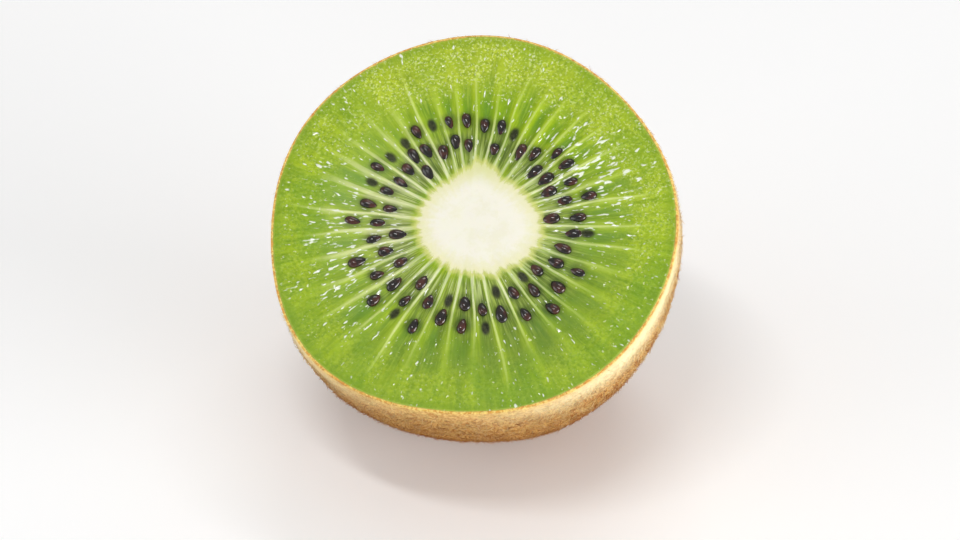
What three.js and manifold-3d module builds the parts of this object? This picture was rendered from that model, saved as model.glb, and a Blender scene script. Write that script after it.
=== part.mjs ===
// Half of a kiwi fruit, cut across its waist and lying on its skin with the cut face up and to
// the front. Units are millimetres and +Z is up. The origin is the middle of the small flat that
// the fruit rests on, +X runs across the cut face, and the face looks towards -Y and up.
//
// The fruit is one solid: the skin, the flesh and the core are one tissue, and the seeds that
// stand out of the cut face are joined to it.

import * as THREE from 'three';
import { mergeVertices } from 'three/addons/utils/BufferGeometryUtils.js';
import Module from 'manifold-3d';

// ---- driving dimensions of the half fruit ----
const FACE_RADIUS = 25.3; // middle of the cut face to the outside of the skin
const LENGTH = 33.5; // cut face to the stem end
const PROFILE_POWER = 2.1; // 2 is an ellipse, more is blunter
const FACE_TILT = 30; // degrees from level
const REST_DEPTH = 0.32; // skin pressed flat where the fruit rests
const RIM_ROUND = 0.35; // rounding where the skin meets the cut

// Lobes of the outline: how many round the fruit, their height in mm, where one peaks in degrees.
const LOBES = [
  { count: 2, height: 0.12, peak: -35 },
  { count: 3, height: 0.32, peak: -11 },
  { count: 4, height: 0.14, peak: -36 },
  { count: 5, height: 0.21, peak: 17 },
];

// ---- the cut face ----
const RAYS = 36; // pale walls between the seed chambers
const RAY_CROWDING = 0.17; // the walls stand closer at the top of the face than at the bottom
const RAY_JITTER = 2.4; // degrees, from end to end
const CROWN = 0.25; // the middle of the face stands this much above its rim
const CORE_RAISE = 0.15;
const CORE_EDGE = 0.3; // as a share of the face's radius
const CORE_FADE = 0.09;
const CHAMBER_DEPTH = 0.34; // wall top to chamber floor, where it is deepest
const CHAMBER_START = 0.28;
const CHAMBER_DEEPEST = 0.5;
const CHAMBER_END = 0.9;

// ---- seeds ----
const SEED_LENGTH = 2.3;
const SEED_WIDTH = 1.36;
const SEED_HEIGHT = 1.1;
const SEED_PROUD = 0.4; // of its height that stands out of the chamber floor, in mm
const SEED_INNER = 0.385; // place of the first seed in a chamber, as a share of the face's radius
const SEED_STAGGER = 0.055; // every other chamber has its seeds this much further out
const SEED_PITCH = 0.115;
const SEED_SPREAD = 0.035;
const SEED_LONE = 0.36; // share of the chambers that hold one seed, and the others hold two
const SEED_OFF_MIDDLE = 1.6; // degrees round the face, from end to end
const SEED_TURN = 24; // degrees off the radius, from end to end
const SEED_SIZES = [0.88, 1.12]; // smallest and largest, in seed sizes
const SEED_TAPER = 0.28;
const SEED_CLEAR = 1.2; // seeds nearer than this, in seed sizes, are left out

// ---- stem end ----
const SCAR_RADIUS = 4.6; // woody ring left by the stalk
const SCAR_RING_WIDTH = 1.0;
const SCAR_RING_HEIGHT = 0.4;
const SCAR_DEPTH = 0.7;
const STUB_RADIUS = 1.6;
const STUB_HEIGHT = 0.5;
const SEPALS = 5; // dried flaps round the ring
const SEPAL_START = 0.25; // in steps between sepals, so that none lies under the fruit
const SEPAL_LENGTH = 3.2;
const SEPAL_WIDTH = 2.2;
const SEPAL_THICKNESS = 0.8;
const SEPAL_SIZES = [0.8, 1.2];
const SEPAL_TAPER = -0.25;
const SEPAL_SCATTER = 0.3; // in steps between sepals

// ---- fineness ----
const FACE_RINGS = [0.12, 0.22, 0.3, 0.36, 0.42, 0.48, 0.55, 0.62, 0.7, 0.79, 0.87, 0.94];
const SKIN_RINGS = 14;
const SCAR_RING_RADII = [6.4, 5.2, 4.6, 4.0, 3.2, 2.0, 1.2];
const PROFILE_STEPS = 2000; // along the profile, to find its lowest point
const BEAD_SIDES = 5;
const BEAD_RINGS = 4;
const MERGE_DISTANCE = 1e-4;
const SLIVER_SIZE = 0.02;

// ---- random draws: a multiplicative generator on whole numbers ----
const RANDOM_START = 4711;
const RANDOM_FACTOR = 16807;
const RANDOM_MODULUS = 2147483647;

const wasm = await Module();
wasm.setup();

const radians = THREE.MathUtils.degToRad;
const smooth = THREE.MathUtils.smoothstep;

// A number from 0 to 1, the same ones in the same order each time.
let draw = RANDOM_START;
function random() {
  draw = (draw * RANDOM_FACTOR) % RANDOM_MODULUS;
  return draw / RANDOM_MODULUS;
}

// A number from half a spread below 0 to half a spread above it.
function offset(spread) {
  return spread * (random() - 0.5);
}

function between([low, high]) {
  return low + (high - low) * random();
}

// ---- shape functions, with the face's middle at 0 and the stem end at -LENGTH ----

// Radius of the fruit at the cut, outside the skin.
function outline(angle) {
  return LOBES.reduce(
    (sum, { count, height, peak }) => sum + height * Math.cos(count * (angle - radians(peak))),
    FACE_RADIUS,
  );
}

// Angles of the pale walls, uneven as they grow.
function rayAngles() {
  return Array.from({ length: RAYS }, (_, ray) => {
    const even = (2 * Math.PI * ray) / RAYS;
    return even + RAY_CROWDING * Math.cos(even) + offset(radians(RAY_JITTER));
  });
}

// Depth of a seed chamber's floor below the top of its walls, at a share of the face's radius.
function chamberDepth(share) {
  const rise = smooth(share, CHAMBER_START, CHAMBER_DEEPEST);
  return CHAMBER_DEPTH * rise * (1 - smooth(share, CHAMBER_DEEPEST, CHAMBER_END));
}

// Height of the cut face, on a wall or on a chamber's floor.
function faceHeight(share, onWall) {
  const crown = CROWN * (1 - share * share);
  const core = CORE_RAISE * (1 - smooth(share, CORE_EDGE - CORE_FADE, CORE_EDGE + CORE_FADE));
  return crown + core - (onWall ? 0 : chamberDepth(share));
}

// Depth below the face at which the skin has shrunk to a share of its widest.
function skinDepth(share) {
  return LENGTH * (1 - share ** PROFILE_POWER) ** (1 / PROFILE_POWER);
}

// Relief of the stem end along the fruit's axis: a ring, a dish inside it and a stub.
function scarRelief(radius, angle) {
  const ragged = 1 + 0.3 * Math.cos(3 * angle + 1) + 0.2 * Math.cos(7 * angle);
  const ring = SCAR_RING_HEIGHT * ragged
    * Math.exp(-(((radius - SCAR_RADIUS) / (0.6 * SCAR_RING_WIDTH)) ** 2));
  const dish = SCAR_DEPTH * (1 - smooth(radius, SCAR_RADIUS - 1.3 * SCAR_RING_WIDTH, SCAR_RADIUS));
  const stub = STUB_HEIGHT * (1 - smooth(radius, 0.5 * STUB_RADIUS, 1.3 * STUB_RADIUS));
  return ring - dish + stub;
}

// ---- rings of points ----

function ring(angles, pointAt) {
  return angles.map((angle, column) => pointAt(angle, column));
}

function faceRing(angles, share) {
  return ring(angles, (angle, column) => {
    const radius = share * outline(angle);
    const height = faceHeight(share, column % 2 === 0);
    return new THREE.Vector3(radius * Math.cos(angle), radius * Math.sin(angle), height);
  });
}

function rimRing(angles) {
  return ring(angles, (angle) => {
    const radius = outline(angle) - RIM_ROUND;
    return new THREE.Vector3(radius * Math.cos(angle), radius * Math.sin(angle), 0);
  });
}

function skinRing(angles, share, depth) {
  return ring(angles, (angle) => {
    const radius = share * outline(angle);
    return new THREE.Vector3(radius * Math.cos(angle), radius * Math.sin(angle), -depth);
  });
}

function scarRing(angles, radius) {
  const depth = skinDepth(radius / FACE_RADIUS);
  return ring(angles, (angle) => new THREE.Vector3(
    radius * Math.cos(angle),
    radius * Math.sin(angle),
    -depth - scarRelief(radius, angle),
  ));
}

// Rings over the skin, evenly spaced in the angle that draws the profile's curve.
function skinRings(angles) {
  const lastShare = (1.5 * SCAR_RING_RADII[0]) / FACE_RADIUS;
  const lastTurn = Math.acos(lastShare ** (PROFILE_POWER / 2));
  return Array.from({ length: SKIN_RINGS }, (_, index) => {
    const turn = (lastTurn * index) / (SKIN_RINGS - 1);
    const share = Math.cos(turn) ** (2 / PROFILE_POWER);
    return skinRing(angles, share, Math.max(RIM_ROUND, skinDepth(share)));
  });
}

// Rings joined into one closed surface, with a single point at each end.
function closedSurface(firstPoint, rings, lastPoint) {
  const columns = rings[0].length;
  const points = [firstPoint, ...rings.flat(), lastPoint];
  const last = points.length - 1;
  const at = (row, column) => 1 + row * columns + (column % columns);
  const index = [];
  for (let column = 0; column < columns; column += 1) {
    index.push(0, at(0, column), at(0, column + 1));
    for (let row = 0; row < rings.length - 1; row += 1) {
      const [a, b] = [at(row, column), at(row, column + 1)];
      const [c, d] = [at(row + 1, column), at(row + 1, column + 1)];
      index.push(a, c, b, b, c, d);
    }
    index.push(at(rings.length - 1, column), last, at(rings.length - 1, column + 1));
  }
  const geometry = new THREE.BufferGeometry().setFromPoints(points);
  geometry.setIndex(index);
  return geometry;
}

// A column of points stands on each wall and on the middle of each chamber.
function columnAngles(rays) {
  return rays.flatMap((angle, ray) => {
    const next = ray + 1 < RAYS ? rays[ray + 1] : rays[0] + 2 * Math.PI;
    return [angle, (angle + next) / 2];
  });
}

function fruitBody(rays) {
  const angles = columnAngles(rays);
  const rings = [
    ...FACE_RINGS.map((share) => faceRing(angles, share)),
    rimRing(angles),
    ...skinRings(angles),
    ...SCAR_RING_RADII.map((radius) => scarRing(angles, radius)),
  ];
  const middle = new THREE.Vector3(0, 0, faceHeight(0, true));
  const stemEnd = new THREE.Vector3(0, 0, -LENGTH - scarRelief(0, 0));
  return closedSurface(middle, rings, stemEnd);
}

// ---- seeds and sepals: small drops, pointed at one end ----

// A drop along +Y with its point at -Y, made from a coarse ball.
function drop(length, width, height, taper) {
  const geometry = new THREE.SphereGeometry(0.5, BEAD_SIDES, BEAD_RINGS);
  const position = geometry.attributes.position;
  for (let index = 0; index < position.count; index += 1) {
    const along = position.getY(index);
    const girth = 1 + 2 * taper * along;
    position.setX(index, position.getX(index) * girth * width);
    position.setZ(index, position.getZ(index) * girth * height);
    position.setY(index, along * length);
  }
  return geometry;
}

// Places of the seeds: one or two to a chamber, staggered, and never touching.
function seedPlaces(rays) {
  const places = [];
  columnAngles(rays).filter((_, column) => column % 2 === 1).forEach((middle, chamber) => {
    const count = random() < SEED_LONE ? 1 : 2;
    const first = SEED_INNER + SEED_STAGGER * (chamber % 2) + offset(2 * SEED_SPREAD);
    const lone = count === 1 ? SEED_PITCH * random() : 0;
    for (let seed = 0; seed < count; seed += 1) {
      const share = first + lone + seed * (SEED_PITCH + SEED_SPREAD * random());
      const angle = middle + offset(radians(SEED_OFF_MIDDLE));
      const size = between(SEED_SIZES);
      const turn = offset(radians(SEED_TURN));
      const place = { radius: share * outline(angle), angle, share, size, turn };
      if (places.every((other) => seedsApart(place, other))) places.push(place);
    }
  });
  return places;
}

function seedsApart(one, other) {
  const across = ((one.radius + other.radius) / 2) * (one.angle - other.angle);
  const along = one.radius - other.radius;
  return (across / SEED_WIDTH) ** 2 + (along / SEED_LENGTH) ** 2 > SEED_CLEAR;
}

function seed({ radius, angle, share, size, turn }) {
  const geometry = drop(SEED_LENGTH * size, SEED_WIDTH * size, SEED_HEIGHT * size, SEED_TAPER);
  const sunk = faceHeight(share, false) + SEED_PROUD - (SEED_HEIGHT * size) / 2;
  geometry.rotateZ(angle - Math.PI / 2 + turn);
  geometry.translate(radius * Math.cos(angle), radius * Math.sin(angle), sunk);
  return geometry;
}

// A dried sepal lies along the skin, just outside the ring, with its tip outwards.
function sepal(index) {
  const angle = (2 * Math.PI * (index + SEPAL_START + offset(SEPAL_SCATTER))) / SEPALS;
  const radius = SCAR_RADIUS + 0.4 * SEPAL_LENGTH;
  const size = between(SEPAL_SIZES);
  const reach = SEPAL_LENGTH / 2;
  const inner = skinDepth((radius - reach) / FACE_RADIUS);
  const outer = skinDepth((radius + reach) / FACE_RADIUS);
  const slope = Math.atan2(inner - outer, SEPAL_LENGTH);
  const geometry = drop(SEPAL_LENGTH * size, SEPAL_WIDTH * size, SEPAL_THICKNESS, SEPAL_TAPER);
  geometry.rotateX(slope);
  geometry.rotateZ(angle - Math.PI / 2);
  geometry.translate(
    radius * Math.cos(angle),
    radius * Math.sin(angle),
    -skinDepth(radius / FACE_RADIUS),
  );
  return geometry;
}

// ---- joining and cutting ----

function solid(geometry) {
  for (const name of ['normal', 'uv']) geometry.deleteAttribute(name);
  const merged = mergeVertices(geometry, MERGE_DISTANCE);
  return new wasm.Manifold(new wasm.Mesh({
    numProp: 3,
    vertProperties: new Float32Array(merged.attributes.position.array),
    triVerts: new Uint32Array(merged.index.array),
  }));
}

function geometryOf(manifold) {
  const { vertProperties, triVerts } = manifold.getMesh();
  const geometry = new THREE.BufferGeometry();
  geometry.setAttribute('position', new THREE.BufferAttribute(vertProperties, 3));
  geometry.setIndex(new THREE.BufferAttribute(triVerts, 1));
  geometry.computeVertexNormals();
  return geometry;
}

// Lowest point of the tilted fruit, worked out from its profile.
function lowestPoint() {
  const tilt = radians(FACE_TILT);
  let best = { reach: 0 };
  for (let step = 0; step <= PROFILE_STEPS; step += 1) {
    const turn = (Math.PI / 2) * (step / PROFILE_STEPS);
    const share = Math.cos(turn) ** (2 / PROFILE_POWER);
    const radius = share * outline(-Math.PI / 2);
    const depth = skinDepth(share);
    const reach = depth * Math.cos(tilt) + radius * Math.sin(tilt);
    if (reach > best.reach) best = { reach, radius, depth };
  }
  return best;
}

// Tilts the fruit, stands it on the floor and moves the resting point to the origin.
function restPose() {
  const { reach, radius, depth } = lowestPoint();
  const tilt = radians(FACE_TILT);
  const forward = radius * Math.cos(tilt) - depth * Math.sin(tilt);
  return new THREE.Matrix4()
    .makeTranslation(0, forward, reach - REST_DEPTH)
    .multiply(new THREE.Matrix4().makeRotationX(tilt));
}

function kiwiHalf() {
  const rays = rayAngles();
  const pose = restPose();
  const pieces = [
    fruitBody(rays),
    ...seedPlaces(rays).map(seed),
    ...Array.from({ length: SEPALS }, (_, index) => sepal(index)),
  ];
  const fruit = pieces
    .map((geometry) => solid(geometry.applyMatrix4(pose)))
    .reduce((whole, piece) => whole.add(piece));
  const floorSize = 4 * FACE_RADIUS;
  const floor = new THREE.BoxGeometry(floorSize, floorSize, floorSize);
  floor.translate(0, 0, -floorSize / 2);
  return geometryOf(fruit.subtract(solid(floor)).asOriginal().simplify(SLIVER_SIZE));
}

const flesh = new THREE.MeshStandardMaterial({ color: 0x93ad3c, roughness: 0.3, metalness: 0 });

const half = new THREE.Mesh(kiwiHalf(), flesh);
half.name = 'kiwi_half';

const group = new THREE.Group();
group.add(half);

export default group;
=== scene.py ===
# Half of a green kiwi fruit, cut across its waist, lying on its furry skin with the cut face up
# and to the front. Sizes are in millimetres in the upright fruit: the middle of the cut face is
# 0, +Z stands out of the face, and the stem end is at -LENGTH. laid_down() puts points in place.

import math

import bpy
import numpy as np
from mathutils import Euler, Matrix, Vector


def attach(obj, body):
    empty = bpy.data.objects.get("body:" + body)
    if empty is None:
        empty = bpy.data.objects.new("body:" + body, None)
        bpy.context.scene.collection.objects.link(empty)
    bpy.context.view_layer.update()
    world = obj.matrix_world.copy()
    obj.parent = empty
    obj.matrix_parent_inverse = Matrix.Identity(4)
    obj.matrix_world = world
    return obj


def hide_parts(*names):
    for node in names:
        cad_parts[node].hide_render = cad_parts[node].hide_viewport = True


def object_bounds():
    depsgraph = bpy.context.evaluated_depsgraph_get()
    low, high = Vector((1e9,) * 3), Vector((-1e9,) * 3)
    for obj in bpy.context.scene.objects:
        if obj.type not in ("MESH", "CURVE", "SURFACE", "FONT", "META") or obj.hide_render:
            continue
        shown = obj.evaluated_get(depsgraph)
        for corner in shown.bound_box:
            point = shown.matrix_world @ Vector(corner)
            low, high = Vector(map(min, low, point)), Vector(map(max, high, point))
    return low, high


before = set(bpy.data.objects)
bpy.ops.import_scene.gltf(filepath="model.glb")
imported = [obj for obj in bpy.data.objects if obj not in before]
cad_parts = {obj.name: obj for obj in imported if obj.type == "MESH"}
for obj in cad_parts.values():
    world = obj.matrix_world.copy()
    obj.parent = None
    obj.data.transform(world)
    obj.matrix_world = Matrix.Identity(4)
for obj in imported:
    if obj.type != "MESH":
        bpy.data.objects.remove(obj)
cad_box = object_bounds()

# -----------------------------------------------------------------------------------------------
# Flesh. Wet green pulp round a pale core, cut clean with a knife. Pale walls run from the core
# towards the skin like spokes, with soft dark chambers between them that hold the seeds. It is
# one closed body that fills the skin.
# -----------------------------------------------------------------------------------------------
MM = 0.001
FACE_RADIUS = 25.3
LENGTH = 33.5
PROFILE_POWER = 2.1
FACE_TILT = math.radians(30)
REST_DEPTH = 0.32
SKIN_THICKNESS = 0.32
FLESH_OVERLAP = 0.04  # how far the flesh reaches into the skin
FLESH_END = LENGTH - 1.4
LOBES = [(2, 0.12, -35), (3, 0.32, -11), (4, 0.14, -36), (5, 0.21, 17)]  # count, mm, peak

WALLS = 36
WALL_CROWDING = 0.17
WALL_JITTER = math.radians(2.4)
WALL_SWAY = math.radians(0.6)
WALL_HALF_WIDTH = 0.17
COLUMNS_PER_CHAMBER = 20
FACE_STEPS = [(0.0, 0.24, 13), (0.24, 0.68, 62), (0.68, 1.0, 47)]  # from, to, rings
UNDER_RINGS = 9

CROWN = 0.25
CORE_RAISE = 0.15
CORE_SLOPE = (0.21, 0.39)  # shares of the radius between which the raised core slopes off
CHAMBER_DEPTH = 0.28
CHAMBER_SHARES = (0.28, 0.5, 0.5, 0.9)  # where the chambers start, are deepest and end
RIDGE_HEIGHT = 0.04
CORE_MIDDLE = (1.0, -0.1)
CORE_SIZE = (7.75, 6.3)
CORE_POINTS = 0.4  # how far the core runs out along each wall
CORE_RAGGED = 0.3
SPIKE_TURN, SPIKE_LENGTH, SPIKE_WIDTH, SPIKE_TIP = math.radians(101), 2.6, 0.27, 0.2

RANDOM_START = 4711
RANDOM_FACTOR = 16807
RANDOM_MODULUS = 2147483647
BUMP_TABLE = 256


class Draws:
    """The same whole-number draws as the solid's, so that walls and seeds lie where its do."""

    def __init__(self):
        self.state = RANDOM_START

    def unit(self):
        self.state = self.state * RANDOM_FACTOR % RANDOM_MODULUS
        return self.state / RANDOM_MODULUS

    def offset(self, spread):
        return spread * (self.unit() - 0.5)

    def between(self, low, high):
        return low + (high - low) * self.unit()


def smooth(value, low, high):
    part = np.clip((value - low) / (high - low), 0, 1)
    return part * part * (3 - 2 * part)


def band(value, start, full, fade, end):
    """0 up to start, 1 from full to fade, and 0 again from end."""
    return smooth(value, start, full) * (1 - smooth(value, fade, end))


def hump(distance, spread):
    """1 where the distance is 0, falling softly to 0 beyond the spread."""
    return np.exp(-((distance / spread) ** 2))


def turn_gap(turn, middle):
    """How far an angle is from the middle one, within half a turn either way."""
    return (turn - middle + math.pi) % (2 * math.pi) - math.pi


def outline(turn):
    """Radius of the fruit at the cut, outside the skin."""
    lobes = [high * np.cos(count * (turn - math.radians(peak))) for count, high, peak in LOBES]
    return FACE_RADIUS + sum(lobes)


def skin_depth(share):
    """Depth below the face at which the skin has shrunk to a share of its widest."""
    return LENGTH * (1 - np.clip(share, 0, 1) ** PROFILE_POWER) ** (1 / PROFILE_POWER)


def lying_at():
    """Where the middle of the cut face is, with the fruit tilted and its lowest point at 0."""
    share = np.cos(np.linspace(0, math.pi / 2, 2001)) ** (2 / PROFILE_POWER)
    radius = share * outline(-math.pi / 2)
    depth = skin_depth(share)
    reach = depth * math.cos(FACE_TILT) + radius * math.sin(FACE_TILT)
    low = reach.argmax()
    forward = radius[low] * math.cos(FACE_TILT) - depth[low] * math.sin(FACE_TILT)
    return np.array([0, forward, reach[low] - REST_DEPTH])


FACE_AT = lying_at()


def laid_down(points, lowest=0.0):
    """Points of the upright fruit, in mm, where they lie, in metres, none under its lowest."""
    x, y, z = np.moveaxis(np.asarray(points, dtype=float), -1, 0)
    lain = np.stack([
        x,
        y * math.cos(FACE_TILT) - z * math.sin(FACE_TILT),
        y * math.sin(FACE_TILT) + z * math.cos(FACE_TILT),
    ], axis=-1)
    lain += FACE_AT
    lain[..., 2] = np.maximum(lain[..., 2], lowest)
    return lain * MM


def ring_points(radius, turn, height):
    """Points at a radius and an angle round the middle, and at a height."""
    return np.stack(
        np.broadcast_arrays(radius * np.cos(turn), radius * np.sin(turn), height), axis=-1)


def round_steps(turn, count=BUMP_TABLE):
    """An angle in steps of bumps(), with a count of them once round."""
    return turn * count / (2 * math.pi)


def bumps(across, along, seed):
    """Smooth random bumps from -1 to 1, one to each whole step of across and along."""
    size = BUMP_TABLE
    table = np.random.default_rng(seed).uniform(-1, 1, (size, size))
    left, low = np.floor(across).astype(int), np.floor(along).astype(int)
    right_share, high_share = across - left, along - low
    right_share = right_share**2 * (3 - 2 * right_share)
    high_share = high_share**2 * (3 - 2 * high_share)
    corner = [[table[(left + i) % size, (low + j) % size] for j in (0, 1)] for i in (0, 1)]
    bottom = corner[0][0] * (1 - right_share) + corner[1][0] * right_share
    top = corner[0][1] * (1 - right_share) + corner[1][1] * right_share
    return bottom * (1 - high_share) + top * high_share


def ring_faces(start, count, columns):
    """Faces from the point at start out through the rings of points that follow it."""
    here = start + 1 + np.arange(columns)
    after = np.roll(here, -1)
    faces = np.stack([np.full_like(here, start), here, after], axis=-1).tolist()
    rows = np.arange(count - 1)[:, None] * columns
    quads = [rows + here, rows + columns + here, rows + columns + after, rows + after]
    return faces + np.stack(quads, axis=-1).reshape(-1, 4).tolist()


def set_out(name, data):
    """A new object in the scene."""
    thing = bpy.data.objects.new(name, data)
    bpy.context.collection.objects.link(thing)
    return thing


def closed_rings(name, *shells):
    """One mesh of closed shells, each through rings of points and a single point at each end."""
    points, faces = [], []
    for rings, first, last, lowest in shells:
        count, columns = rings.shape[:2]
        limits = np.repeat(np.broadcast_to(lowest, count), columns)
        limits = np.concatenate([limits[:1], limits, limits[-1:]])
        start = sum(map(len, points))
        points.append(laid_down(np.concatenate([[first], rings.reshape(-1, 3), [last]]), limits))
        faces += ring_faces(start, count, columns)
        end = np.full(columns, start + 1 + count * columns)
        here = end - columns + np.arange(columns)
        faces += np.stack([here, end, np.roll(here, -1)], axis=-1).tolist()
    mesh = bpy.data.meshes.new(name)
    mesh.from_pydata(np.concatenate(points).tolist(), [], faces)
    mesh.shade_smooth()
    return set_out(name, mesh)


def keep(mesh, name, values):
    """Keeps one or three numbers for each point of a mesh under a name."""
    values = np.asarray(values, dtype=np.float32)
    kind, key = ("FLOAT", "value") if values.ndim == 1 else ("FLOAT_VECTOR", "vector")
    mesh.attributes.new(name, kind, "POINT").data.foreach_set(key, values.ravel())


def paint(piece, name, values, first, last):
    """Keeps a number for each point of a mesh that closed_rings made."""
    keep(piece.data, name, np.concatenate([[first], values.ravel(), [last]]))


draws = Draws()
wall_turns = np.array([
    2 * math.pi * wall / WALLS
    + WALL_CROWDING * math.cos(2 * math.pi * wall / WALLS)
    + draws.offset(WALL_JITTER)
    for wall in range(WALLS)
])
next_turns = np.append(wall_turns[1:], wall_turns[0] + 2 * math.pi)

# Seeds lie in the chambers, one or two to each and staggered.
SEED_LENGTH, SEED_WIDTH, SEED_HEIGHT = 2.3, 1.36, 1.1
SEED_PROUD = 0.4
SEED_INNER, SEED_STAGGER, SEED_PITCH, SEED_SPREAD = 0.385, 0.055, 0.115, 0.035
SEED_LONE = 0.36
SEED_OFF_MIDDLE = math.radians(1.6)
SEED_TURN = math.radians(24)
SEED_CLEAR = 1.2
SEED_SIZES = (0.88, 1.12)


def seeds_apart(one, other):
    across = (one["radius"] + other["radius"]) / 2 * (one["angle"] - other["angle"])
    along = one["radius"] - other["radius"]
    return (across / SEED_WIDTH) ** 2 + (along / SEED_LENGTH) ** 2 > SEED_CLEAR


seeds = []
for chamber, middle in enumerate((wall_turns + next_turns) / 2):
    count = 1 if draws.unit() < SEED_LONE else 2
    nearest = SEED_INNER + SEED_STAGGER * (chamber % 2) + draws.offset(2 * SEED_SPREAD)
    lone = SEED_PITCH * draws.unit() if count == 1 else 0
    for number in range(count):
        share = nearest + lone + number * (SEED_PITCH + SEED_SPREAD * draws.unit())
        angle = middle + draws.offset(SEED_OFF_MIDDLE)
        seed = {
            "radius": share * outline(angle),
            "angle": angle,
            "share": share,
            "size": draws.between(*SEED_SIZES),
            "turn": draws.offset(SEED_TURN),
        }
        if all(seeds_apart(seed, other) for other in seeds):
            seeds.append(seed)

# Columns of points stand on each wall and between, and sway with the walls they lie between.
rng = np.random.default_rng(12)
steps = np.arange(COLUMNS_PER_CHAMBER) / COLUMNS_PER_CHAMBER
column_turns = (wall_turns[:, None] + (next_turns - wall_turns)[:, None] * steps).ravel()
across_chamber = np.minimum(steps, 1 - steps) * 2
shares = [np.linspace(low, high, count, endpoint=False) for low, high, count in FACE_STEPS]
shares = np.append(np.concatenate(shares)[1:], 1.0)
sway_phase, sway_count = rng.uniform(0, 2 * math.pi, WALLS), rng.uniform(0.8, 2.2, WALLS)
sway = np.sin(2 * math.pi * shares[:, None] * sway_count + sway_phase)
sway *= WALL_SWAY * band(shares, 0.25, 0.45, 0.85, 1)[:, None]
sway_between = sway[:, :, None] * (1 - steps) + np.roll(sway, -1, 1)[:, :, None] * steps
turns = column_turns + sway_between.reshape(len(shares), -1)
radii = shares[:, None] * (outline(turns) - SKIN_THICKNESS + FLESH_OVERLAP)
share_grid = radii / outline(turns)

chamber_width = np.repeat(next_turns - wall_turns, COLUMNS_PER_CHAMBER)
between = np.tile(across_chamber, WALLS)  # 0 on a wall, 1 midway
wall_gap = radii * chamber_width * between / 2
nearest_wall = (np.arange(WALLS)[:, None] + (steps > 0.5)).ravel() % WALLS
wall_strength = rng.uniform(0.55, 1.0, WALLS)[nearest_wall]
wall_reach = rng.uniform(0.72, 1.0, WALLS)[nearest_wall]
chamber_tone = np.repeat(rng.uniform(0, 1, WALLS), COLUMNS_PER_CHAMBER)

x, y = radii * np.cos(turns), radii * np.sin(turns)
core_x, core_y = x - CORE_MIDDLE[0], y - CORE_MIDDLE[1]
core_turn = np.arctan2(core_y, core_x)
core_edge = 1 / np.hypot(np.cos(core_turn) / CORE_SIZE[0], np.sin(core_turn) / CORE_SIZE[1])
spike_gap = turn_gap(core_turn, SPIKE_TURN) / SPIKE_WIDTH
spike = np.exp(SPIKE_TIP - np.hypot(spike_gap, SPIKE_TIP))
on_wall = hump(wall_gap, WALL_HALF_WIDTH) * wall_strength
core_edge += SPIKE_LENGTH * spike + CORE_POINTS * on_wall
core_edge += CORE_RAGGED * bumps(round_steps(turns) / 3.0, 0 * radii, 4)
core_gap = np.hypot(core_x, core_y) - core_edge


def dome(share):
    """Height of the face, without its chambers, at a share of its radius."""
    return CROWN * (1 - share**2) + CORE_RAISE * (1 - smooth(share, *CORE_SLOPE))


hollow = CHAMBER_DEPTH * band(share_grid, *CHAMBER_SHARES) * (0.5 - 0.5 * np.cos(math.pi * between))
ridge = RIDGE_HEIGHT * on_wall
ridge *= 1 + 0.5 * bumps(nearest_wall * 7.3 + 0 * radii, radii / 0.7, 6)
ridge *= smooth(core_gap, -0.5, 1.5) * (1 - smooth(share_grid, wall_reach - 0.2, wall_reach))
pulp = smooth(core_gap, 0, 1.2)
fine = 0.06 * bumps(round_steps(turns), radii / 1.1, 3) * pulp
fine *= 1 - 0.85 * smooth(share_grid, 0.6, 0.85)
grain = 0.04 * bumps(x / 0.42, y / 0.42, 5) * smooth(share_grid, 0.55, 0.8)
soft = 0.04 * bumps(x / 2.1 + 40, y / 2.1 + 40, 7) * pulp
core_grain = 0.02 * bumps(x / 0.8 + 9, y / 0.8 + 9, 8) * (1 - pulp)
height = dome(share_grid) + ridge - hollow + fine + grain + soft + core_grain

# Round each seed the pulp has shrunk back a little, and some seeds lie sunk below the surface.
PIT_RADIUS, PIT_DEPTH = 1.1, 0.12
SUNK_SHARES = (0.36, 0.57)
SUNK_OFF_MIDDLE = 0.02
SUNK_CLEAR = 1.75
SUNK_HALF_LENGTH, SUNK_HALF_WIDTH, SUNK_PROUD = 1.0, 0.6, 0.05

seed_spots = np.array([[s["radius"] * math.cos(s["angle"]), s["radius"] * math.sin(s["angle"])]
                       for s in seeds])
sunk_spots = []
for chamber in np.tile(rng.permutation(WALLS), 2):
    share = rng.uniform(*SUNK_SHARES)
    angle = (wall_turns[chamber] + next_turns[chamber]) / 2
    angle += rng.uniform(-SUNK_OFF_MIDDLE, SUNK_OFF_MIDDLE)
    spot = share * outline(angle) * np.array([math.cos(angle), math.sin(angle)])
    if np.hypot(*(np.array([*seed_spots, *sunk_spots]) - spot).T).min() > SUNK_CLEAR:
        sunk_spots.append(spot)
pit, sunk = np.zeros_like(x), np.zeros_like(x)
for spot in seed_spots:
    pit = np.maximum(pit, hump(np.hypot(x - spot[0], y - spot[1]), PIT_RADIUS))
for spot in sunk_spots:
    along = ((x - spot[0]) * spot[0] + (y - spot[1]) * spot[1]) / np.hypot(*spot)
    aside = ((y - spot[1]) * spot[0] - (x - spot[0]) * spot[1]) / np.hypot(*spot)
    off = (along / SUNK_HALF_LENGTH) ** 2 + (aside / SUNK_HALF_WIDTH) ** 2
    sunk = np.maximum(sunk, np.exp(-(off**1.6)))
height += SUNK_PROUD * sunk - PIT_DEPTH * pit

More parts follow.
